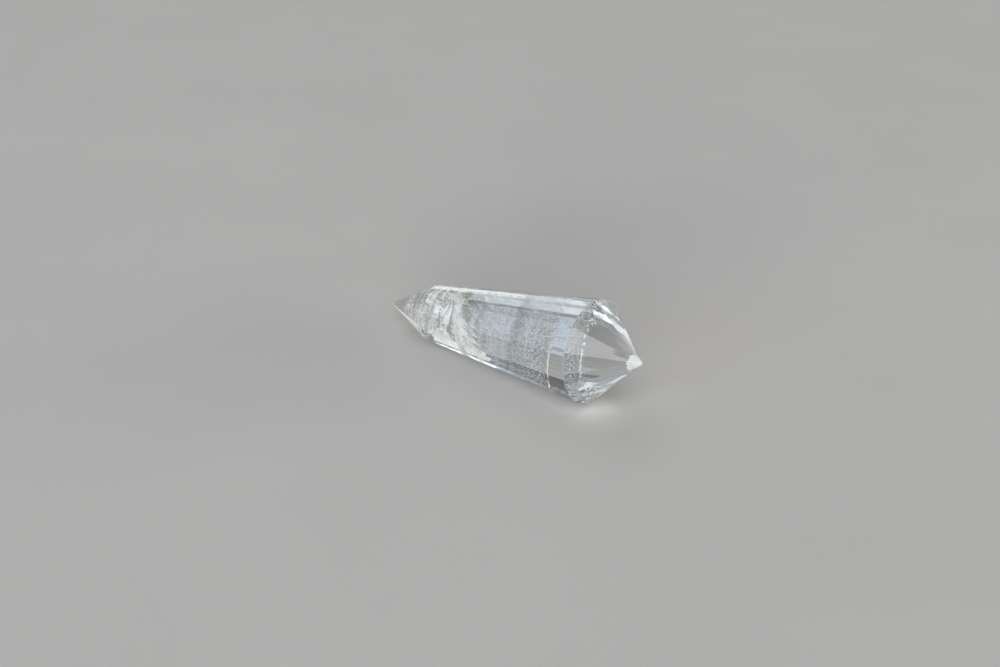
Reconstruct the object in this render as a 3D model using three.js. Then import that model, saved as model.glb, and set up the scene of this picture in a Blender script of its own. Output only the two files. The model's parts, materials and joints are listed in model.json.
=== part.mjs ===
// A clear quartz crystal ground into a tapered, 24-sided wand with a point at each end.
// The wide point is blunt and the slim point is sharp. The crystal is one piece, and it lies at rest on one
// long body facet, so its axis comes down from the wide end to the slim end by the body's taper.
// Units are millimetres, +Z is up, +X runs from the slim point towards the wide point, and the origin is on
// the resting surface under the middle of the crystal's bounding box.

import * as THREE from "three";
import { ConvexGeometry } from "three/addons/geometries/ConvexGeometry.js";

// Driving dimensions, measured along and across the crystal's own axis.
const LENGTH = 80; // from point to point
const WIDE_POINT_HEIGHT = 14; // from the wide girdle to its point
const SLIM_POINT_HEIGHT = 15.8; // from the slim girdle to its point
const WIDE_RADIUS = 13; // axis to a corner of the wide girdle
const SLIM_RADIUS = 7.5; // axis to a corner of the slim girdle
const SLIM_POINT_DROP = 0.35; // how far the hand-ground slim point sits below the axis

// Angular widths of the 24 hand-ground facets, in degrees, counted round the axis from the facet that the
// crystal rests on. They add up to 360, and both girdles share them, so every body facet is flat.
const FACET_WIDTHS = [
  15.5, 15.5, 14.5, 15.5, 14.5, 15.5, 14.5, 14.5, 16.5, 16, 14.5, 14,
  15, 15.5, 15, 15, 14, 12, 11.5, 15.5, 14.5, 15, 16.5, 19.5,
];

// What follows from them.
const BODY_LENGTH = LENGTH - WIDE_POINT_HEIGHT - SLIM_POINT_HEIGHT;
const REST_DEPTH_RATIO = Math.cos(THREE.MathUtils.degToRad(FACET_WIDTHS[0] / 2)); // of facet to radius
const TAPER = Math.atan2((WIDE_RADIUS - SLIM_RADIUS) * REST_DEPTH_RATIO, BODY_LENGTH);

// Angles of the girdle's corners round the axis, from straight down towards +Y.
function cornerAngles() {
  let angle = -FACET_WIDTHS[0] / 2;
  return FACET_WIDTHS.map((width) => {
    angle += width;
    return THREE.MathUtils.degToRad(angle);
  });
}

// One girdle: the ring of corners between the body's facets and a point's facets.
function girdle(x, radius) {
  return cornerAngles().map(
    (angle) => new THREE.Vector3(x, radius * Math.sin(angle), -radius * Math.cos(angle)),
  );
}

// The whole crystal is convex: two girdles and two points say where each of its 72 flat facets lies.
function quartzGeometry() {
  const widePoint = new THREE.Vector3(WIDE_POINT_HEIGHT, 0, 0);
  const slimPoint = new THREE.Vector3(-BODY_LENGTH - SLIM_POINT_HEIGHT, 0, -SLIM_POINT_DROP);
  return new ConvexGeometry([
    ...girdle(0, WIDE_RADIUS),
    ...girdle(-BODY_LENGTH, SLIM_RADIUS),
    widePoint,
    slimPoint,
  ]);
}

const clearQuartz = new THREE.MeshStandardMaterial({
  color: "#dfe6e6",
  roughness: 0.03,
  metalness: 0,
  transparent: true,
  opacity: 0.35,
});

// Laid down: turning by the taper sets the resting facet level, and the box of the turned crystal then gives
// the shift that puts the facet on the surface with the crystal centred over the origin.
const quartz = new THREE.Mesh(quartzGeometry(), clearQuartz);
quartz.name = "quartz_point";
quartz.rotation.y = -TAPER;
quartz.updateMatrix();
const laidDown = quartz.geometry.clone().applyMatrix4(quartz.matrix);
laidDown.computeBoundingBox();
const { min, max } = laidDown.boundingBox;
quartz.position.set(-(min.x + max.x) / 2, -(min.y + max.y) / 2, -min.z);

const crystal = new THREE.Group();
crystal.add(quartz);

export default crystal;
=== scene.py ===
# %% [markdown]
# # A ground quartz point, lying on a pale table
#
# The real object is one piece of clear quartz. A cutter ground it on a flat wheel into a long tapered wand
# with twenty-four facets round it and a point at each end, and polished every facet. Three things give it
# its look: flat facets that bend and mirror what is round them, thin pale lines where facets meet, and the
# white veils inside, which are old cracks that healed and trapped fluid.
#
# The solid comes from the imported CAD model. Everything here is built round it, in metres, in its frame.

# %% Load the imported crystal
import bpy
import bmesh
import json
import math
import numpy
from mathutils import Matrix, Vector, noise

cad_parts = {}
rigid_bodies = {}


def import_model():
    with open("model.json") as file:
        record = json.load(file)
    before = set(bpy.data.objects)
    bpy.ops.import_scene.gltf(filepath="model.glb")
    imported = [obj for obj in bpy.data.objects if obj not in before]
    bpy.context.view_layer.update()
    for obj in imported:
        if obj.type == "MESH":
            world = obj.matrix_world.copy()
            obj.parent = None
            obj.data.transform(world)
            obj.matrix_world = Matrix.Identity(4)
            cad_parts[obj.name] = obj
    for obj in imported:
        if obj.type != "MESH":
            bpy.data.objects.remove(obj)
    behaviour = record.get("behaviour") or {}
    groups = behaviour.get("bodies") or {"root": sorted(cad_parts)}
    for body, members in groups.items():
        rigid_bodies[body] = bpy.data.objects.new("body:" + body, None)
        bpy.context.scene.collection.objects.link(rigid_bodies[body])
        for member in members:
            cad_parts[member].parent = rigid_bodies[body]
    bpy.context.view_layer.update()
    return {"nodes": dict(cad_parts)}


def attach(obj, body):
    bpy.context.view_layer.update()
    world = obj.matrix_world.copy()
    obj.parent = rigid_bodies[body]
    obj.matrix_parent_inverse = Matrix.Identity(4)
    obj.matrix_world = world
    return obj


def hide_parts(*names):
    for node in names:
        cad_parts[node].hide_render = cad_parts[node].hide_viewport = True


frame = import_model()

MM = 0.001
noise.seed_set(24)
crystal_node = frame["nodes"]["quartz_point"]

# %% [markdown]
# ## The crystal's own axis
#
# The wand lies on one facet, so its axis slopes. Veils and droplets are easier to place along the axis than
# along the table, so this cell finds the two points and the two girdles in the CAD mesh and makes a matrix
# that turns crystal measures (along the axis, across it, and up from it, in millimetres from the middle of
# the wide girdle) into places in the scene.

# %% Find the points, the girdles and the axis
SAME_POINT, SAME_FACET = 0.001, math.radians(0.5)


def merged_copy(node):
    """A CAD node's mesh in millimetres, with loose triangles joined and each flat facet as one face."""
    mesh = bmesh.new()
    mesh.from_mesh(node.data)
    bmesh.ops.scale(mesh, vec=Vector((1, 1, 1)) / MM, verts=mesh.verts)
    bmesh.ops.remove_doubles(mesh, verts=mesh.verts, dist=SAME_POINT)
    bmesh.ops.dissolve_limit(mesh, angle_limit=SAME_FACET, verts=mesh.verts, edges=mesh.edges)
    mesh.normal_update()
    return mesh


facets = merged_copy(crystal_node)
corners = sorted((vertex.co.copy() for vertex in facets.verts), key=lambda co: co.x)
slim_tip, wide_tip = corners[0], corners[-1]
slim_corners = [co for co in corners[1:-1] if co.x < 0]
wide_corners = [co for co in corners[1:-1] if co.x > 0]


def ring_middle(ring):
    """Middle of the box round a girdle's corners."""
    return Vector((min(co[i] for co in ring) + max(co[i] for co in ring)) / 2 for i in range(3))


wide_middle, slim_middle = ring_middle(wide_corners), ring_middle(slim_corners)
axis_along = (wide_middle - slim_middle).normalized()
axis_side = Vector((0, 1, 0))
axis_up = axis_along.cross(axis_side).normalized()
body_length = (wide_middle - slim_middle).length
to_scene = Matrix((axis_along, axis_side, axis_up)).transposed()


def at(along, side, up):
    """A place inside the crystal, in millimetres of the table frame."""
    return wide_middle + to_scene @ Vector((along, side, up))


print("tip to tip, mm:", round((wide_tip - slim_tip).length, 1), "body, mm:", round(body_length, 1))
print("facets:", len(facets.faces))
print("wide girdle corners:", len(wide_corners), "slim girdle corners:", len(slim_corners))

# %% [markdown]
# ## Camera
#
# The camera looks down at the wide end from about a third of a metre away with a normal lens, so that the
# near point looks larger than the far one.

# %% Camera
CAMERA_LENS = 50
CAMERA_SENSOR = 36
CAMERA_AZIMUTH = math.radians(37.54)
CAMERA_ELEVATION = math.radians(28.74)
CAMERA_DISTANCE = 370.8 * MM
CAMERA_TARGET = Vector((-12.06, 12.05, 0)) * MM


def direction(azimuth, elevation):
    """Unit vector from the object: azimuth 0 is towards -Y and turns towards +X."""
    flat = math.cos(elevation)
    return Vector((math.sin(azimuth) * flat, -math.cos(azimuth) * flat, math.sin(elevation)))


def link(name, data):
    """A new object in the scene."""
    made = bpy.data.objects.new(name, data)
    bpy.context.scene.collection.objects.link(made)
    return made


def aim(thing, place, target):
    """Puts a camera or light at a place, looking at a target."""
    thing.location = place
    thing.rotation_euler = (target - place).to_track_quat("-Z", "Y").to_euler()


lens = bpy.data.cameras.new("camera")
lens.lens, lens.sensor_width = CAMERA_LENS, CAMERA_SENSOR
lens.clip_start = 10 * MM
camera = link("camera", lens)
back = direction(CAMERA_AZIMUTH, CAMERA_ELEVATION)
aim(camera, CAMERA_TARGET + back * CAMERA_DISTANCE, CAMERA_TARGET)
bpy.context.scene.camera = camera
print("camera at, mm:", [round(value / MM) for value in camera.location])

# %% [markdown]
# ## Colours and nodes
#
# Blender's shaders count light, so they want linear colours, while a colour that a person picks on a screen
# is sRGB. One function turns one into the other. One more adds a node, sets it and links it in one statement,
# so that each material below reads as a list of its steps.

# %% Colours and a node helper
def tone(code):
    """An sRGB hex colour as the linear RGBA that Blender's shaders use."""
    shares = [int(code[i : i + 2], 16) / 255 for i in (1, 3, 5)]
    linear = [s / 12.92 if s <= 0.04045 else ((s + 0.055) / 1.055) ** 2.4 for s in shares]
    return (*linear, 1.0)


def add(tree, kind, inputs=None, **settings):
    """Adds a node with its settings. Inputs go by name or place; a node stands for its first output."""
    made = tree.nodes.new(kind)
    for name, value in settings.items():
        setattr(made, name, value)
    sockets = [socket for socket in made.inputs if socket.enabled]
    for key, value in (inputs or {}).items():
        socket = sockets[key] if isinstance(key, int) else next(s for s in sockets if s.name == key)
        if isinstance(value, bpy.types.Node):
            value = next(output for output in value.outputs if output.enabled)
        if isinstance(value, bpy.types.NodeSocket):
            tree.links.new(value, socket)
        else:
            socket.default_value = value
    return made


def new_material(name):
    """An empty material, its node tree and its output node."""
    material = bpy.data.materials.new(name)
    material.use_nodes = True
    tree = material.node_tree
    tree.nodes.clear()
    return material, tree, tree.nodes.new("ShaderNodeOutputMaterial")


print("half-way grey on a screen, as linear light:", round(tone("#808080")[0], 3))

# %% [markdown]
# ## Table
#
# Clear quartz has no colour of its own to show, so what stands round it makes the picture. Most lines of
# sight through the body end on the table under it. A white table would drown the white veils, so this one is
# matt paper in a middling pale grey, with no gloss that could mirror a low light. It could be a curved studio
# sweep. A flat sheet that ends before the lights, in a room as pale as itself, looks right from every side.
#
# A polished stone touches paper at a few high points only, and everywhere else a thin film of air lies
# between. The film matters: where glass and table share one plane, a ray has nowhere to leave the glass, and
# the facet turns black. So the paper lies a twentieth of a millimetre below the facet.

# %% Table
TABLE_HALF = 4.0
TABLE_GREY, TABLE_GREY_CLOUD = tone("#a2a19e"), tone("#9c9b98")
TABLE_CLOUD = 70 * MM
AIR_FILM = 0.05 * MM


def table_finish():
    """Matt backdrop paper: an even pale grey, with a faint cloudiness a hand's breadth across."""
    material, tree, out = new_material("matt_pale_paper")
    place = add(tree, "ShaderNodeTexCoord").outputs["Object"]
    cloud = add(tree, "ShaderNodeTexNoise", {"Vector": place, "Scale": 1 / TABLE_CLOUD, "Detail": 3})
    mix = {"Factor": cloud, "A": TABLE_GREY, "B": TABLE_GREY_CLOUD}
    colour = add(tree, "ShaderNodeMix", mix, data_type="RGBA")
    skin = {"Base Color": colour, "Roughness": 1.0, "Specular IOR Level": 0.0}
    skin = add(tree, "ShaderNodeBsdfPrincipled", skin)
    tree.links.new(skin.outputs[0], out.inputs["Surface"])
    return material


def flat_plate(name, half, height):
    """A square that faces up."""
    mesh = bpy.data.meshes.new(name)
    corners = [(-half, -half, height), (half, -half, height), (half, half, height), (-half, half, height)]
    mesh.from_pydata(corners, [], [(0, 1, 2, 3)])
    return link(name, mesh)


table = flat_plate("table_top", TABLE_HALF, -AIR_FILM)
table.data.materials.append(table_finish())
print("table:", 2 * TABLE_HALF, "m wide,", round(AIR_FILM / MM, 2), "mm below the crystal")

# %% [markdown]
# ## Soft windows
#
# A ray that leaves a facet goes to one small patch of the room, so a gem is lit patch by patch. The front
# window is large and lights everything a little. The two low ones stand just above the table: light that
# skims like this hardly brightens the table, yet the steep facets let it in to the veils, which is how white
# veils can stand out from a pale ground. The others are placed where facets send the eye: the front-left one
# lies blue on the near body facets, the left one fills the rims of the wide point, and the two behind light
# the top and the lower left rim. Area lights do this better than point lights, because a facet shows a
# light's shape.

# %% Soft windows
WINDOW_DISTANCE = 8.0


def window(name, azimuth, elevation, spread, radiance, colour):
    """A soft rectangular light that faces the crystal. Spread is its width and height in degrees."""
    lamp = bpy.data.lights.new(name, "AREA")
    lamp.shape = "RECTANGLE"
    lamp.size, lamp.size_y = (2 * WINDOW_DISTANCE * math.tan(math.radians(side / 2)) for side in spread)
    lamp.energy = radiance * math.pi * lamp.size * lamp.size_y
    lamp.color = tone(colour)[:3]
    made = link(name, lamp)
    place = direction(math.radians(azimuth), math.radians(elevation)) * WINDOW_DISTANCE
    aim(made, place, Vector())
    made.visible_camera = False
    print(name, "m:", round(lamp.size, 1), "x", round(lamp.size_y, 1), "watts:", round(lamp.energy))


window("front_window", 32, 38, (56, 57), 3.75, "#f7f7ff")
window("low_front_window", 20, 6.5, (48, 9), 34.0, "#fffaf2")
window("low_right_window", 115, 7, (50, 10), 22.0, "#fff8ea")
window("front_left_window", -15, 19, (15, 22), 7.0, "#bfe0ff")
window("left_window", -60, 25, (24, 30), 0.7, "#f1f7fb")
window("back_left_window", -122, 44, (42, 30), 2.2, "#f6fbff")
window("low_back_window", -149.6, 13.5, (7, 9), 0.9, "#fdfbf2")

# %% [markdown]
# ## Room
#
# Between the windows the room is dim. Close above the table it is as pale as the table, so that no dark wall
# shows behind it in a low view. A few soft glows lie low there too, and light the veils from the sides where
# no window stands. Each glow is one smooth hump: the better a direction agrees with the glow's axis, the
# brighter it is. An image of a room would do the same, and would need a file.

# %% Room
ROOM_LEVEL = 0.12
BACKDROP_LEVEL = 0.36
BACKDROP_FROM, BACKDROP_TO = math.sin(math.radians(7)), math.sin(math.radians(4))
GLOWS = [
    (160, 5, 30, 2.4, "#fff8ea"),
    (-60, 7, 25, 0.7, "#e8f2ff"),
    (-133, 13, 120, 2.2, "#ffffff"),
]


def pale_room():
    """A dim room, pale near the table, with glows given as azimuth, elevation, sharpness, level, colour."""
    room = bpy.data.worlds.new("pale_room")
    room.use_nodes = True
    tree = room.node_tree
    tree.nodes.clear()
    way = add(tree, "ShaderNodeTexCoord").outputs["Generated"]
    height = add(tree, "ShaderNodeSeparateXYZ", {"Vector": way}).outputs["Z"]
    sweep = {"Value": height, "From Min": BACKDROP_FROM, "From Max": BACKDROP_TO}
    sweep |= {"To Min": ROOM_LEVEL, "To Max": BACKDROP_LEVEL}
    total = add(tree, "ShaderNodeMapRange", sweep, interpolation_type="SMOOTHSTEP")
    for azimuth, elevation, sharpness, radiance, colour in GLOWS:
        axis = direction(math.radians(azimuth), math.radians(elevation))
        facing = add(tree, "ShaderNodeVectorMath", {0: way, 1: axis}, operation="DOT_PRODUCT")
        turned = {0: facing.outputs["Value"], 1: sharpness, 2: -sharpness}
        turned = add(tree, "ShaderNodeMath", turned, operation="MULTIPLY_ADD")
        fall = add(tree, "ShaderNodeMath", {0: turned}, operation="EXPONENT")
        light = Vector(tone(colour)[:3]) * radiance
        glow = add(tree, "ShaderNodeVectorMath", {0: light, "Scale": fall}, operation="SCALE")
        total = add(tree, "ShaderNodeVectorMath", {0: total, 1: glow}, operation="ADD")
    sky = add(tree, "ShaderNodeBackground", {"Color": total, "Strength": 1.0})
    add(tree, "ShaderNodeOutputWorld", {"Surface": sky})
    return room


bpy.context.scene.world = pale_room()
print("room: glows", len(GLOWS), "nodes", len(bpy.context.scene.world.node_tree.nodes))

# %% [markdown]
# ## Light paths
#
# A ray that enters the crystal can bounce between facets many times before it leaves. Cycles stops a path
# after a set number of bounces and leaves it black, so the limits are raised until the dark patches that are
# left are real ones. Light reaches the veils and the table under the crystal only through facets, so
# refractive caustics stay on.

# %% Light paths
cycles = bpy.context.scene.cycles
cycles.max_bounces = 24
cycles.transmission_bounces = 24
cycles.glossy_bounces = 16
cycles.diffuse_bounces = 4
cycles.transparent_max_bounces = 16
cycles.caustics_refractive = True
cycles.caustics_reflective = True
cycles.blur_glossy = 0.3
cycles.sample_clamp_indirect = 6.0
cycles.use_denoising = True
bpy.context.scene.view_settings.view_transform = "Standard"
print("bounces:", cycles.max_bounces, "through facets:", cycles.transmission_bounces)

# %% [markdown]
# ## The ground body
#
# The cutter's wheel leaves facets flat, but no edge stays a true line: handling and polishing wear each one
# to a narrow pale band, wider where the edge is sharper. A Bevel modifier can make such bands, yet where
# twenty-four narrow facets crowd into a point it overlaps itself. This cell does what wear does instead. For
# each edge it cuts the solid with a plane that leans half-way between the two facets, and closes the cut with
# a new face. Each new face is marked in an attribute, so the material can frost it.

# %% Wear each edge to a narrow band
WEAR_WIDTH = 0.06
ON_PLANE = 1e-5


def wear_planes(mesh):
    """For each edge, a point and a normal of the plane that wears it: the sharper the edge, the wider."""
    planes = []
    for edge in mesh.edges:
        first, second = (face.normal for face in edge.link_faces)
        lean = (first + second).normalized()
        turn = first.angle(second)
        depth = WEAR_WIDTH * math.sin(turn) / 2 * math.tan(turn / 2)
        middle = (edge.verts[0].co + edge.verts[1].co) / 2
        planes.append((middle - lean * depth, lean))
    return planes


def shave(mesh, point, normal, mark, value):
    """Cuts away what is outside a plane and closes the cut with a face that carries a mark."""
    parts = mesh.verts[:] + mesh.edges[:] + mesh.faces[:]
    bmesh.ops.bisect_plane(
        mesh, geom=parts, dist=ON_PLANE, plane_co=point, plane_no=normal, clear_outer=True
    )
    rim = [edge for edge in mesh.edges if edge.is_boundary]
    for face in bmesh.ops.holes_fill(mesh, edges=rim, sides=0)["faces"]:
        face[mark] = value


def as_object(name, mesh):
    """Turns a mesh in millimetres into an object in metres."""
    bmesh.ops.scale(mesh, vec=Vector((MM, MM, MM)), verts=mesh.verts)
    data = bpy.data.meshes.new(name)
    mesh.to_mesh(data)
    mesh.free()
    return link(name, data)


ground = facets.copy()
edge_wear = ground.faces.layers.float.new("edge_wear")
for point, lean in wear_planes(facets):
    shave(ground, point, lean, edge_wear, 1.0)
bmesh.ops.recalc_face_normals(ground, faces=ground.faces)
open_edges = sum(not edge.is_manifold for edge in ground.edges)
print("ground body: faces", len(ground.faces), "open edges", open_edges)
crystal = as_object("ground_quartz_body", ground)

# %% [markdown]
# ## Polished quartz
#
# Quartz bends light a little more than window glass does: its index is 1.544. A cerium or tin polish leaves
# facets almost mirror smooth. What is left of the grinding shows only in a glancing light: a faint waviness
# a few millimetres across, hairlines along the wand, and frosted bands where edges have worn. Real hairlines
# are a hundredth of a millimetre wide; here they are drawn coarser, so that they show. The tint is so faint
# that it shows only through the whole width of the stone, so it is an absorption in the volume and not a
# colour on the surface.

# %% Polished quartz
QUARTZ_IOR = 1.544
QUARTZ_TINT, QUARTZ_DENSITY = (0.86, 0.92, 0.93, 1), 8.0
WAVE, WAVE_DEPTH = 5 * MM, 0.004 * MM
HAIRLINE, HAIRLINE_DEPTH = 0.35 * MM, 0.0006 * MM
HAIRLINE_DRAWN_OUT = Vector((0.03, 1, 1))
CHIP, CHIP_FULL, WORN_ROUGHNESS = 0.5 * MM, 0.6, 0.45


def polished_quartz():
    """Clear quartz, wheel-polished: sharp reflections, frosted worn edges, faint grey-green depth."""
    material, tree, out = new_material("polished_clear_quartz")
    place = add(tree, "ShaderNodeTexCoord").outputs["Object"]
    worn = add(tree, "ShaderNodeAttribute", attribute_name="edge_wear").outputs["Fac"]
    chips = add(tree, "ShaderNodeTexNoise", {"Vector": place, "Scale": 1 / CHIP, "Detail": 3})
    frost = add(tree, "ShaderNodeMath", {0: chips, 1: worn}, operation="MULTIPLY")
    rough = {"Value": frost, "From Max": CHIP_FULL, "To Max": WORN_ROUGHNESS}
    rough = add(tree, "ShaderNodeMapRange", rough)
    wave = add(tree, "ShaderNodeTexNoise", {"Vector": place, "Scale": 1 / WAVE, "Detail": 1})
    drawn_out = {"Vector": place, "Scale": HAIRLINE_DRAWN_OUT / HAIRLINE}
    drawn_out = add(tree, "ShaderNodeMapping", drawn_out)
    hair = add(tree, "ShaderNodeTexNoise", {"Vector": drawn_out, "Scale": 1, "Detail": 2})
    slow = add(tree, "ShaderNodeBump", {"Height": wave, "Strength": 1.0, "Distance": WAVE_DEPTH})
    fine = {"Height": hair, "Strength": 1.0, "Distance": HAIRLINE_DEPTH, "Normal": slow}
    relief = add(tree, "ShaderNodeBump", fine)
    skin = {"Base Color": (1, 1, 1, 1), "Transmission Weight": 1.0, "IOR": QUARTZ_IOR}
    skin = add(tree, "ShaderNodeBsdfPrincipled", skin | {"Roughness": rough, "Normal": relief})
    depth = add(tree, "ShaderNodeVolumeAbsorption", {"Color": QUARTZ_TINT, "Density": QUARTZ_DENSITY})
    tree.links.new(skin.outputs[0], out.inputs["Surface"])
    tree.links.new(depth.outputs[0], out.inputs["Volume"])
    return material


crystal.data.materials.append(polished_quartz())
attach(crystal, "root")
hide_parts("quartz_point")
print("quartz: nodes", len(crystal.active_material.node_tree.nodes), "index", QUARTZ_IOR)

# %% [markdown]
# ## Healed cracks
#
# While the crystal grew it cracked, and hot fluid healed the cracks again. What stays is a film of tiny
# fluid-filled hollows, and the eye reads thousands of them as a white veil. A noise texture on a flat sheet
# would look right from one side only, and it would not leave Blender. So the veils here are what they are:
# real droplets, in real places. First comes the film that a crack followed. It is a thin curved grid, torn
# at its rim and cut off a little inside the facets. Each of its points also stores which way the crack ran.
# The sizes below are in millimetres: the grid's cells, and the humps of the noises that tear and bend it.

# %% Films where the cracks ran
FILM_CELL = 0.4
TEAR_SIZE, WAVE_SIZE, RIPPLE_SIZE, CURL_SIZE = 3, 4, 1.5, 5
RIPPLE_SHARE = 0.4
SEED_STEP = (7.3, 3.1, 0)


def trim_to_facets(mesh, inset):
    """Cuts off what lies nearer than inset to a facet, or outside it."""
    for facet in facets.faces:
        point = facet.calc_center_median() - facet.normal * inset
        parts = mesh.verts[:] + mesh.edges[:] + mesh.faces[:]
        bmesh.ops.bisect_plane(
            mesh, geom=parts, dist=ON_PLANE, plane_co=point, plane_no=facet.normal, clear_outer=True
        )


def crack_film(
    middle, normal, run, size, bulge=0.6, ripple=0.5, root=60, draw=1, curl=0.8, torn=0.35, inset=0.45,
    seed=0,
):
    """A curved, torn film. Its strands fan out from a root, a distance behind its middle.

    Middle, normal and run are in crystal measures; size is along and across the run. Each point keeps
    flow, the way its strand runs, and strand, its place along (shortened by draw) and across the strands.
    """
    face_way = Vector(normal).normalized()
    run_way = Vector(run)
    run_way = (run_way - face_way * run_way.dot(face_way)).normalized()
    cross_way = face_way.cross(run_way)
    mesh = bmesh.new()
    flow = mesh.verts.layers.float_vector.new("flow")
    strand = mesh.verts.layers.float_vector.new("strand")
    shift = Vector(seed * step for step in SEED_STEP)
    columns, rows = int(size[0] / FILM_CELL), int(size[1] / FILM_CELL)
    grid = {}
    for i in range(columns + 1):
        for j in range(rows + 1):
            a, b = i / columns * 2 - 1, j / rows * 2 - 1
            flat = Vector((a * size[0] / 2, b * size[1] / 2, 0))
            if math.hypot(a, b) > 1 + torn * noise.noise(flat / TEAR_SIZE + shift * 2):
                continue
            wave = noise.noise(flat / WAVE_SIZE + shift)
            wave += RIPPLE_SHARE * noise.noise(flat / RIPPLE_SIZE + shift)
            height = bulge * (a * a - b * b) + ripple * wave
            place = Vector(middle) + run_way * flat.x + cross_way * flat.y + face_way * height
            bent = flat + noise.noise_vector(flat / CURL_SIZE + shift) * curl
            reach, turn = math.hypot(bent.x + root, bent.y), math.atan2(bent.y, bent.x + root)
            corner = mesh.verts.new(at(*place))
            corner[flow] = to_scene @ (run_way * math.cos(turn) + cross_way * math.sin(turn))
            corner[strand] = Vector((reach / draw, turn * root, seed)) * MM
            grid[i, j] = corner
    for i, j in grid:
        around = [grid.get(key) for key in ((i, j), (i + 1, j), (i + 1, j + 1), (i, j + 1))]
        if all(around):
            mesh.faces.new(around)
    trim_to_facets(mesh, inset)
    return mesh


print("film cells, mm:", FILM_CELL, "cut off at facets:", len(facets.faces))

# %% [markdown]
# ## From film to droplets
#
# One Geometry Nodes tree turns any film into its droplets: it scatters points, keeps some of them, and puts
# a small eight-sided body on each. What a veil may choose for itself is an input of the tree, with a usual
# value. Each random step has a seed of its own, so that a droplet's size doesn't follow from its place. Real
# hollows are mostly finer still, and far more; these are as coarse as they must be to show.

# %% Inputs and seeds of a droplet tree
DROPLET_INPUTS = {
    "Density": ("Float", 60e6),
    "Cloud size": ("Float", 4 * MM),
    "Cover": ("Float", 0.5),
    "Net size": ("Float", 2 * MM),
    "Net share": ("Float", 0.0),
    "Smallest": ("Float", 0.03 * MM),
    "Largest": ("Float", 0.20 * MM),
    "Rarity": ("Float", 4.0),
    "Stretch": ("Float", 1.0),
    "Flatness": ("Float", 0.5),
    "Disorder": ("Float", 0.3),
    "Scatter": ("Float", 0.1 * MM),
    "Ragged": ("Float", 0.01 * MM),
    "Seed": ("Int", 0),
    "Material": ("Material", None),
}
RANDOM_STEPS = 7


def new_tree(name):
    """A Geometry Nodes tree, its named inputs, and a seed of its own for each random step."""
    tree = bpy.data.node_groups.new(name, "GeometryNodeTree")
    tree.interface.new_socket("Geometry", in_out="OUTPUT", socket_type="NodeSocketGeometry")
    tree.interface.new_socket("Geometry", in_out="INPUT", socket_type="NodeSocketGeometry")
    for title, (kind, value) in DROPLET_INPUTS.items():
        socket = tree.interface.new_socket(title, in_out="INPUT", socket_type="NodeSocket" + kind)
        if value is not None:
            socket.default_value = value
    given = tree.nodes.new("NodeGroupInput").outputs
    seeds = []
    for step in range(RANDOM_STEPS):
        own_seed = {0: given["Seed"], 1: step}
        seeds.append(add(tree, "FunctionNodeIntegerMath", own_seed, operation="ADD"))
    return tree, given, seeds


print("a droplet tree's inputs:", ", ".join(DROPLET_INPUTS))

# %% [markdown]
# ## Where the droplets are
#
# A healed crack is never evenly full. A cloud noise leaves gaps in it, and a net of bent cell walls gathers
# its droplets along lines. A Voronoi texture gives the net: it can tell how far a point is from the border of
# two cells, as a share of a cell. Both patterns are laid out along the strands of the film, so that they
# follow the way the crack ran. A point stays by chance, and the patterns set the chance.

# %% Thin out the points
CLOUD_TOP, CLOUD_REACH, CLOUD_EDGE = 0.72, 0.5, 0.12
WALL_EDGE, WALL_CORE, WALL_BEND = 0.14, 0.03, 1.5 * MM


def thin_out(tree, given, seeds, points):
    """Keeps the points where the cloud noise and the net let them be.

    The more cover, the lower the noise may be: from cloud top down by cloud reach, with a soft edge.
    """
    strand = add(tree, "GeometryNodeInputNamedAttribute", {"Name": "strand"}, data_type="FLOAT_VECTOR")
    cloud_scale = add(tree, "ShaderNodeMath", {0: 1.0, 1: given["Cloud size"]}, operation="DIVIDE")
    cloud = {"Vector": strand, "Scale": cloud_scale, "Detail": 4.0, "Roughness": 0.6}
    cloud = add(tree, "ShaderNodeTexNoise", cloud)
    least = {0: given["Cover"], 1: -CLOUD_REACH, 2: CLOUD_TOP}
    least = add(tree, "ShaderNodeMath", least, operation="MULTIPLY_ADD")
    most = add(tree, "ShaderNodeMath", {0: least, 1: CLOUD_EDGE}, operation="ADD")
    dense = add(tree, "ShaderNodeMapRange", {"Value": cloud, "From Min": least, "From Max": most})
    net_scale = add(tree, "ShaderNodeMath", {0: 1.0, 1: given["Net size"]}, operation="DIVIDE")
    bend = {0: cloud.outputs["Color"], "Scale": WALL_BEND}
    bend = add(tree, "ShaderNodeVectorMath", bend, operation="SCALE")
    bent = add(tree, "ShaderNodeVectorMath", {0: strand, 1: bend}, operation="ADD")
    net = {"Vector": bent, "Scale": net_scale}
    net = add(tree, "ShaderNodeTexVoronoi", net, feature="DISTANCE_TO_EDGE")
    wall = add(tree, "ShaderNodeMapRange", {"Value": net, "From Min": WALL_EDGE, "From Max": WALL_CORE})
    share = {"Factor": given["Net share"], "A": 1.0, "B": wall}
    share = add(tree, "ShaderNodeMix", share, data_type="FLOAT")
    keep = add(tree, "ShaderNodeMath", {0: dense, 1: share}, operation="MULTIPLY")
    chance = add(tree, "FunctionNodeRandomValue", {"Seed": seeds[1]}, data_type="FLOAT")
    gone = add(tree, "FunctionNodeCompare", {0: chance, 1: keep}, operation="GREATER_THAN")
    return add(tree, "GeometryNodeDeleteGeometry", {0: points, 1: gone}, domain="POINT")


print("with full cover the droplets stay from a cloud level of", round(CLOUD_TOP - CLOUD_REACH, 2))

# %% [markdown]
# ## One droplet
#
# Most droplets are small and a few are large: a random number, raised to a power, picks the size. Stretch
# draws a droplet out along the crack's run, so the same steps make round droplets, silky fibres and thin
# bright flakes. Each droplet keeps one more random number for its material to read, and a small tug at every
# corner makes it ragged.

# %% Put a droplet on each point
FOUR_SIDES, TWO_HALVES = 4, 2
ONE_EACH_WAY = {"Min": (-1, -1, -1), "Max": (1, 1, 1)}


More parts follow.
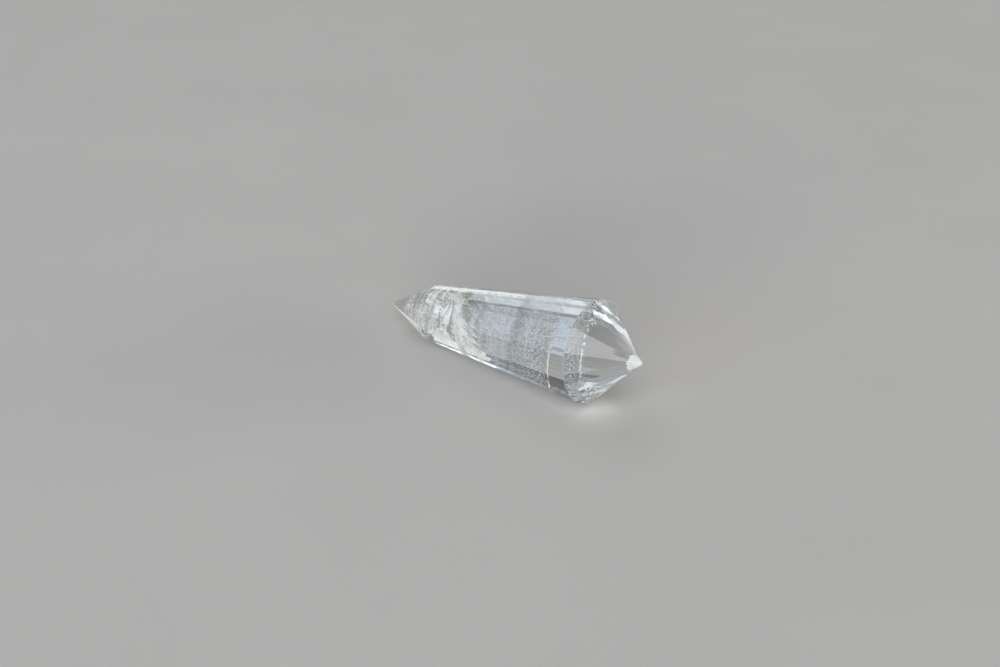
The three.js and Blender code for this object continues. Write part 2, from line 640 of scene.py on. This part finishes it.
def put_droplets(tree, given, seeds, points, turn):
    """Sizes, scatters and instances the droplets, then makes them one mesh with its material."""
    jump = ONE_EACH_WAY | {"Seed": seeds[2]}
    jump = add(tree, "FunctionNodeRandomValue", jump, data_type="FLOAT_VECTOR")
    jump = add(tree, "ShaderNodeVectorMath", {0: jump, "Scale": given["Scatter"]}, operation="SCALE")
    loose = add(tree, "GeometryNodeSetPosition", {0: points, "Offset": jump})
    luck = add(tree, "FunctionNodeRandomValue", {"Seed": seeds[3]}, data_type="FLOAT")
    rare = add(tree, "ShaderNodeMath", {0: luck, 1: given["Rarity"]}, operation="POWER")
    size = {"Value": rare, "To Min": given["Smallest"], "To Max": given["Largest"]}
    size = add(tree, "ShaderNodeMapRange", size)
    shape = {"X": given["Stretch"], "Y": 1.0, "Z": given["Flatness"]}
    shape = add(tree, "ShaderNodeCombineXYZ", shape)
    scale = add(tree, "ShaderNodeVectorMath", {0: shape, "Scale": size}, operation="SCALE")
    droplet = {"Segments": FOUR_SIDES, "Rings": TWO_HALVES, "Radius": 1.0}
    droplet = add(tree, "GeometryNodeMeshUVSphere", droplet)
    many = {"Points": loose, "Instance": droplet, "Rotation": turn, "Scale": scale}
    many = add(tree, "GeometryNodeInstanceOnPoints", many)
    spark = add(tree, "FunctionNodeRandomValue", {"Seed": seeds[4]}, data_type="FLOAT")
    marked = {"Geometry": many, "Name": "sparkle", "Value": spark}
    marked = add(tree, "GeometryNodeStoreNamedAttribute", marked, data_type="FLOAT", domain="INSTANCE")
    real = add(tree, "GeometryNodeRealizeInstances", {0: marked})
    tug = ONE_EACH_WAY | {"Seed": seeds[6]}
    tug = add(tree, "FunctionNodeRandomValue", tug, data_type="FLOAT_VECTOR")
    tug = add(tree, "ShaderNodeVectorMath", {0: tug, "Scale": given["Ragged"]}, operation="SCALE")
    rough = add(tree, "GeometryNodeSetPosition", {0: real, "Offset": tug})
    done = add(tree, "GeometryNodeSetMaterial", {0: rough, "Material": given["Material"]})
    add(tree, "NodeGroupOutput", {0: done})


print("faces of a droplet:", FOUR_SIDES * TWO_HALVES)

# %% [markdown]
# ## The whole tree
#
# Now the steps come together. The points are scattered on the film and thinned out, and each droplet is
# turned to lie flat in the film and to point along its flow, a little astray.

# %% The tree that fills a film
def film_tree():
    """Scatters droplets over a film, turned to lie in it and along its flow."""
    tree, given, seeds = new_tree("film_to_droplets")
    points = {"Mesh": given["Geometry"], "Density": given["Density"], "Seed": seeds[0]}
    points = add(tree, "GeometryNodeDistributePointsOnFaces", points)
    kept = thin_out(tree, given, seeds, points)
    flow = add(tree, "GeometryNodeInputNamedAttribute", {"Name": "flow"}, data_type="FLOAT_VECTOR")
    stray = ONE_EACH_WAY | {"Seed": seeds[5]}
    stray = add(tree, "FunctionNodeRandomValue", stray, data_type="FLOAT_VECTOR")
    stray = add(tree, "ShaderNodeVectorMath", {0: stray, "Scale": given["Disorder"]}, operation="SCALE")
    along = add(tree, "ShaderNodeVectorMath", {0: flow, 1: stray}, operation="ADD")
    lean = add(tree, "ShaderNodeVectorMath", {0: points.outputs["Normal"], 1: stray}, operation="ADD")
    turn = {"Primary Axis": along, "Secondary Axis": lean}
    turn = add(tree, "FunctionNodeAxesToRotation", turn, primary_axis="X", secondary_axis="Z")
    put_droplets(tree, given, seeds, kept, turn)
    return tree


film_to_droplets = film_tree()
print("film tree: nodes", len(film_to_droplets.nodes), "links", len(film_to_droplets.links))

# %% [markdown]
# ## Run a tree on a mesh
#
# The tree works as a modifier on the film. Its result is then taken as a plain mesh, and film and modifier
# are dropped, so what leaves Blender is nothing but droplets. Scattering can push a droplet out through a
# facet, where it would stand on the polish like a crumb. Each droplet is measured against all the facets at
# once, and those that come too near are deleted.

# %% Run a tree on a mesh
DROPLET_CORNERS = FOUR_SIDES + 2
CLEAR_OF_POLISH = 0.08
facet_normals = numpy.array([facet.normal for facet in facets.faces])
facet_heights = numpy.array([facet.normal.dot(facet.verts[0].co) for facet in facets.faces])


def drop_outsiders(data):
    """Deletes each droplet that comes too near to a facet, so that none breaks the polish."""
    places = numpy.empty(len(data.vertices) * 3)
    data.vertices.foreach_get("co", places)
    heights = places.reshape(-1, 3) / MM @ facet_normals.T
    near = (heights > facet_heights - CLEAR_OF_POLISH).any(axis=1)
    lost = numpy.repeat(near.reshape(-1, DROPLET_CORNERS).any(axis=1), DROPLET_CORNERS)
    mesh = bmesh.new()
    mesh.from_mesh(data)
    gone = [corner for corner, out in zip(mesh.verts, lost) if out]
    bmesh.ops.delete(mesh, geom=gone, context="VERTS")
    mesh.to_mesh(data)
    mesh.free()


def grow(name, base, tree, **inputs):
    """Runs a tree on a mesh and keeps the result as a plain piece of the crystal."""
    source = as_object(name + "_film", base)
    modifier = source.modifiers.new("droplets", "NODES")
    modifier.node_group = tree
    keys = {item.name: item.identifier for item in tree.interface.items_tree if item.in_out == "INPUT"}
    for title, value in inputs.items():
        modifier[keys[title.replace("_", " ").capitalize()]] = value
    graph = bpy.context.evaluated_depsgraph_get()
    data = bpy.data.meshes.new_from_object(source.evaluated_get(graph), depsgraph=graph)
    data.name = name
    bpy.data.objects.remove(source)
    drop_outsiders(data)
    piece = link(name, data)
    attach(piece, "root")
    print(name, "triangles:", len(data.polygons))


print("facets that a droplet is measured against:", len(facet_heights))

# %% [markdown]
# ## Droplets that lie on no film
#
# A few hollows lie by themselves, away from any crack. For them a second tree fills a closed body: it turns
# the mesh into a volume, scatters points in that, and shares the last steps with the first tree.

# %% The tree that fills a volume
FILL_CELLS = 96.0
FULL_TURN = (6.3, 6.3, 6.3)


def body_tree():
    """Scatters droplets through a closed body, turned any way."""
    tree, given, seeds = new_tree("body_to_droplets")
    filled = {"Mesh": given["Geometry"], "Voxel Amount": FILL_CELLS}
    filled = add(tree, "GeometryNodeMeshToVolume", filled)
    points = {"Volume": filled, "Density": given["Density"], "Seed": seeds[0]}
    points = add(tree, "GeometryNodeDistributePointsInVolume", points)
    turn = {"Min": (0, 0, 0), "Max": FULL_TURN, "Seed": seeds[5]}
    turn = add(tree, "FunctionNodeRandomValue", turn, data_type="FLOAT_VECTOR")
    turn = add(tree, "FunctionNodeEulerToRotation", {0: turn})
    put_droplets(tree, given, seeds, points, turn)
    return tree


body_to_droplets = body_tree()
print("volume tree: nodes", len(body_to_droplets.nodes), "links", len(body_to_droplets.links))

# %% [markdown]
# ## What the hollows are filled with
#
# A fluid-filled hollow inside quartz throws back most of the light that meets it, so in number the hollows
# look white, and here and there one faces the light and flashes. A few hold a trace of iron or clay and look
# dull brown. Each droplet carries a random number, and the material reads it to choose between these.

# %% Fluid-filled hollows
HOLLOW_WHITE, HOLLOW_GREY = tone("#f4f6f4"), tone("#c9cfca")
HOLLOW_DULL = tone("#84826f")
DULL_SHARE, WHITE_FROM, FLASH_FROM = 0.06, 0.5, 0.7
SOFT_ROUGHNESS, FLASH_ROUGHNESS = 0.6, 0.12
FLUID_IOR = 1.33


def fluid_hollows(name, white, grey):
    """Healed-crack droplets: soft white in number, with rare flashes and rare dull ones."""
    material, tree, out = new_material(name)
    spark = add(tree, "ShaderNodeAttribute", attribute_name="sparkle").outputs["Fac"]
    shade = add(tree, "ShaderNodeValToRGB", {"Fac": spark})
    ramp = shade.color_ramp
    ramp.elements[0].position, ramp.elements[0].color = 0.0, HOLLOW_DULL
    ramp.elements[1].position, ramp.elements[1].color = DULL_SHARE, grey
    ramp.elements.new(WHITE_FROM).color = white
    ramp.elements.new(1.0).color = white
    rough = {"Value": spark, "From Min": FLASH_FROM, "To Min": SOFT_ROUGHNESS, "To Max": FLASH_ROUGHNESS}
    rough = add(tree, "ShaderNodeMapRange", rough)
    skin = {"Base Color": shade, "Roughness": rough, "IOR": FLUID_IOR}
    skin = add(tree, "ShaderNodeBsdfPrincipled", skin)
    tree.links.new(skin.outputs[0], out.inputs["Surface"])
    return material


hollows = fluid_hollows("fluid_filled_hollows", HOLLOW_WHITE, HOLLOW_GREY)
print("hollows: of each hundred,", round(DULL_SHARE * 100), "dull and",
      round((1 - FLASH_FROM) * 100), "brighter than the rest")

# %% [markdown]
# ## The feather
#
# Towards the slim point the healed cracks lie leaf on leaf, and together they look like a white feather or a
# gush of steam. Each leaf is a film whose strands fan out from a root above it. The noise that thins the
# droplets is drawn out along the strands, which gives clumps of barbs with dark gaps between, and each
# droplet is drawn out as well, which gives the silky fibre. Four leaves at different depths and angles keep
# the feather whole when it is looked at from the other sides.

# %% Feather
LEAF_SEED = 11
FIBRE = dict(stretch=5.0, flatness=0.4, disorder=0.35, smallest=0.03 * MM, largest=0.14 * MM, rarity=3.0)
feather_leaves = {
    "feather_leaf_near": ((-37, -3, 0), (0.62, -0.55, 0.55), (0.6, -0.1, -0.8), (24, 11), 10, 131),
    "feather_leaf_mid": ((-42, 1, 0), (0.55, -0.6, 0.6), (0.55, 0.1, -0.8), (22, 12), 10, 142),
    "feather_leaf_far": ((-38, 2, -1), (0.75, -0.3, 0.55), (0.7, -0.1, -0.7), (20, 13), 12, 103),
    "feather_leaf_low": ((-42, -3, -5), (0.15, -0.75, -0.5), (0.8, 0.1, -0.3), (18, 9), 18, 134),
}
for number, (name, (middle, normal, run, size, root, seed)) in enumerate(feather_leaves.items(), LEAF_SEED):
    leaf = crack_film(middle, normal, run, size, root=root, draw=3.5, curl=2.0, bulge=1.6, seed=seed)
    grow(
        name, leaf, film_to_droplets, material=hollows, seed=number, density=250e6, cover=0.38,
        scatter=0.15 * MM, cloud_size=2.6 * MM, net_size=1.8 * MM, net_share=0.6, **FIBRE,
    )

# %% [markdown]
# ## A dark pocket
#
# At the head of the feather the droplets are few, dull and dark green. Their dull green is painted
# shade, and it makes the feather look darker and greener there.

# %% Painted shade in the head of the feather
# Painted shade: these dull dark-green droplets darken the head of the feather.
SHADE_GREEN_PALE, SHADE_GREEN_DARK = tone("#839082"), tone("#56625a")
green_shade = fluid_hollows("painted_shade_hollows", SHADE_GREEN_PALE, SHADE_GREEN_DARK)
pocket = crack_film((-35.5, -1.5, 5), (0.4, -0.6, 0.7), (0.6, 0, -0.8), (9, 6), torn=0.7, seed=4)
grow(
    "painted_shade_pocket", pocket, film_to_droplets, material=green_shade, seed=14, density=130e6, cover=0.5,
    scatter=0.8 * MM, cloud_size=0.9 * MM, stretch=2.5, disorder=0.9, smallest=0.02 * MM,
    largest=0.11 * MM, rarity=2.5,
)

# %% [markdown]
# ## The mottled veil
#
# Nearer to the slim point the healing went further. The droplets pulled themselves round and gathered along
# the walls of small cells, so the veil is mottled like fish skin. The net of cell walls in the tree does
# that: it keeps the droplets that lie near the border between two cells.

# %% Mottled veil near the slim point
mottle = crack_film((-53, 0, 0), (0.4, -0.6, 0.6), (0.85, 0, -0.4), (23, 13), seed=5)
grow(
    "mottled_veil", mottle, film_to_droplets, material=hollows, seed=15, density=130e6, cover=0.6,
    stretch=1.3, flatness=0.5, disorder=0.8, smallest=0.04 * MM, largest=0.17 * MM, scatter=0.3 * MM,
    cloud_size=2.4 * MM, net_size=1.5 * MM, net_share=0.9,
)

# %% [markdown]
# ## Veils along the body
#
# Between the feather and the clear end hang thinner veils. Two of them have strands that run across the wand,
# because growth stopped and started there, and they read as faint upright bands. The third lies low with its
# strands along the wand. Their droplets are small and many, so that they read as haze and not as grit. What
# fills them is a little smoky, so the haze is a cool grey, and the feather stays the whitest thing inside.

# %% Net-like veils along the body
HAZE_PALE, HAZE_GREY = tone("#c4ccd1"), tone("#98a0a5")
haze = fluid_hollows("smoky_fluid_hollows", HAZE_PALE, HAZE_GREY)
NET = dict(smallest=0.025 * MM, largest=0.12 * MM, rarity=4.0, disorder=0.6)
back_net = crack_film(
    (-25, 4, 1), (0.1, -0.8, 0.5), (0, 0.5, 0.8), (17, 26), draw=4, curl=1.2, torn=0.2, seed=6
)
grow(
    "back_net_veil", back_net, film_to_droplets, material=haze, seed=16, density=120e6, cover=0.5,
    cloud_size=2.0 * MM, net_size=1.5 * MM, net_share=0.4, scatter=0.3 * MM, **NET,
)
low_net = crack_film((-25, -1, -6), (0, -0.35, 0.9), (1, 0, 0), (24, 15), torn=0.2, seed=7)
grow(
    "low_net_veil", low_net, film_to_droplets, material=haze, seed=17, density=110e6, cover=0.6,
    net_size=1.8 * MM, net_share=0.9, **NET,
)
near_net = crack_film(
    (-27, -5, 3), (0.1, -0.8, 0.35), (0, 0.3, 1), (15, 24), draw=4, curl=1.2, torn=0.4, seed=8
)
grow(
    "near_net_veil", near_net, film_to_droplets, material=haze, seed=18, density=110e6, cover=0.5,
    cloud_size=1.6 * MM, net_size=1.6 * MM, net_share=0.5, **NET,
)

# %% [markdown]
# ## Clay dust and painted shade at the back
#
# The last veil before the clear end caught clay as it healed. It lies along the far wall, dull and grey,
# with bright grains in it, and stops at the crack that runs straight across. Its dull grey is partly the
# clay's own colour and partly painted shade. Seen through the wide point, it stands beside the girdle as a
# speckled band. Both films share one set of measures, so they lie together.

# %% Clay dust and painted shade near the back
# Clay and painted shade: the dull grey of these droplets is partly the clay's colour and partly painted
# shade.
CLAY_AND_SHADE_PALE, CLAY_AND_SHADE_DARK = tone("#7f8585"), tone("#525857")
clay = fluid_hollows("clay_and_painted_shade_hollows", CLAY_AND_SHADE_PALE, CLAY_AND_SHADE_DARK)
FAR_WALL = dict(normal=(0.1, -0.87, 0.48), run=(1, 0.1, -0.05), bulge=0.2, ripple=0.3, torn=0.12)
dust = crack_film((-18.4, 8.7, -4.4), size=(12.6, 18), seed=10, **FAR_WALL)
grow(
    "clay_and_painted_shade_veil", dust, film_to_droplets, material=clay, seed=20, density=190e6, cover=0.75,
    net_size=1.2 * MM, net_share=0.4, scatter=0.5 * MM, **NET,
)
grains = crack_film((-17.0, 8.6, -4.2), size=(9.8, 17), seed=11, **FAR_WALL)
grow(
    "bright_grains", grains, film_to_droplets, material=hollows, seed=22, density=6e6, cover=0.85,
    smallest=0.07 * MM, largest=0.17 * MM, rarity=2.0, flatness=0.7, scatter=0.3 * MM,
)

# %% [markdown]
# ## The straight crack
#
# One crack ran straight across the body and healed almost without a trace. Only at its rim, just under the
# polish, a line of droplets is left. The film is made across the whole body, and then all but its rim is cut
# away.

# %% Rim of a crack straight across the body
RIM_WIDTH = 1.1


def keep_rim(mesh, width):
    """Keeps only what lies within a width of the nearest facet."""
    def depth(co):
        return min((facet.verts[0].co - co).dot(facet.normal) for facet in facets.faces)

    inner = [corner for corner in mesh.verts if depth(corner.co) > width]
    bmesh.ops.delete(mesh, geom=inner, context="VERTS")


cross_crack = crack_film((-12.3, 0, 0), (1, 0.05, 0.1), (0, 0, 1), (27, 27), torn=0, seed=9)
keep_rim(cross_crack, RIM_WIDTH)
grow(
    "cross_crack_rim", cross_crack, film_to_droplets, material=hollows, seed=19, density=220e6, cover=0.5,
    smallest=0.03 * MM, largest=0.11 * MM, rarity=3.0, scatter=0.15 * MM, cloud_size=1.5 * MM,
)

# %% [markdown]
# ## A white patch inside the wide tip
#
# Inside the wide tip the facets mirror the veils back along the axis, and that shows as one white spot.
# The spot is painted reflection: a small film that crosses the axis near the tip, thick with short white
# droplets. Here the facets stand close together, so the film reaches nearer to them.

# %% Painted reflection: white patch inside the wide tip
# Painted reflection: a white film that stands in for the veils mirrored inside the wide tip.
white_patch = crack_film(
    (12.2, -0.3, 0.2), (0.58, -0.7, 0.42), (1, 0, 0), (4.4, 5.2), bulge=0.1, ripple=0.2, torn=0.15,
    inset=0.15, seed=12,
)
grow(
    "painted_white_patch_in_wide_tip", white_patch, film_to_droplets, material=hollows, seed=23, density=520e6, cover=1.0,
    smallest=0.035 * MM, largest=0.10 * MM, rarity=1.5, disorder=0.6, scatter=0.08 * MM,
)

# %% [markdown]
# ## Loose specks
#
# Single hollows are strewn through the cloudy part. A copy of the facets, shaved all round so that nothing
# touches the polish, and cut off before the clear end, is the body that the second tree fills.

# %% Specks all through the cloudy half
SPECKS_INSET, SPECKS_END = 1.5, -16
cloudy = facets.copy()
cut = cloudy.faces.layers.float.new("cut")
for facet in facets.faces:
    shave(cloudy, facet.calc_center_median() - facet.normal * SPECKS_INSET, facet.normal, cut, 0.0)
shave(cloudy, at(SPECKS_END, 0, 0), axis_along, cut, 0.0)
grow(
    "loose_specks", cloudy, body_to_droplets, material=hollows, seed=21, density=0.55e9,
    smallest=0.05 * MM, largest=0.18 * MM, rarity=3.0, flatness=0.6, scatter=0.0,
)

# %% [markdown]
# ## Open cracks
#
# Beside the feather the crack never healed. A film of gas is left in it, and it mirrors light as a bubble
# does. Such flakes are few, flat and much larger than the droplets, and each one flashes by itself. They
# come from the same tree, with bodies that are almost flat and a silvery finish.

# %% Silvery flakes
SILVER = tone("#f4f7f7")
SILVER_RIPPLE, SILVER_RIPPLE_DEPTH = 0.3 * MM, 0.02 * MM
SILVER_SMOOTH, SILVER_BROKEN = 0.1, 0.4


def open_crack():
    """A gas-filled crack: mirror-bright, its silver broken up by a fine ripple."""
    material, tree, out = new_material("open_crack_silver")
    place = add(tree, "ShaderNodeTexCoord").outputs["Object"]
    ripple = add(tree, "ShaderNodeTexNoise", {"Vector": place, "Scale": 1 / SILVER_RIPPLE, "Detail": 3})
    rough = {"Value": ripple, "To Min": SILVER_SMOOTH, "To Max": SILVER_BROKEN}
    rough = add(tree, "ShaderNodeMapRange", rough)
    relief = {"Height": ripple, "Strength": 1.0, "Distance": SILVER_RIPPLE_DEPTH}
    relief = add(tree, "ShaderNodeBump", relief)
    skin = {"Base Color": SILVER, "Metallic": 1.0, "Roughness": rough, "Normal": relief}
    skin = add(tree, "ShaderNodeBsdfPrincipled", skin)
    tree.links.new(skin.outputs[0], out.inputs["Surface"])
    return material


silver = open_crack()
FLAKE_SEED = 30
FLAKE = dict(smallest=0.04 * MM, largest=0.17 * MM, rarity=3.0, stretch=1.8, flatness=0.1)
flake_films = {
    "flakes_by_feather": ((-33, -3, -3), (0.62, -0.45, 0.64), (0.66, 0, -0.75), (16, 9), 5.0e6),
    "flakes_near_slim_point": ((-49, 0, 0), (0.3, -0.7, 0.5), (1, 0, -0.3), (16, 10), 2.0e6),
    "flakes_along_body": ((-24, -1, 0), (0.1, -0.7, 0.6), (1, 0, 0), (22, 14), 0.8e6),
}
for number, (name, (middle, normal, run, size, density)) in enumerate(flake_films.items(), FLAKE_SEED):
    film = crack_film(middle, normal, run, size, inset=1.6, seed=number)
    grow(
        name, film, film_to_droplets, material=silver, seed=number + 1, density=density, cover=0.7,
        cloud_size=3 * MM, disorder=0.7, scatter=0.7 * MM, ragged=0.05 * MM, **FLAKE,
    )

# %% [markdown]
# ## Finish
#
# The view layer is brought up to date once more.

# %% Finish
bpy.context.view_layer.update()
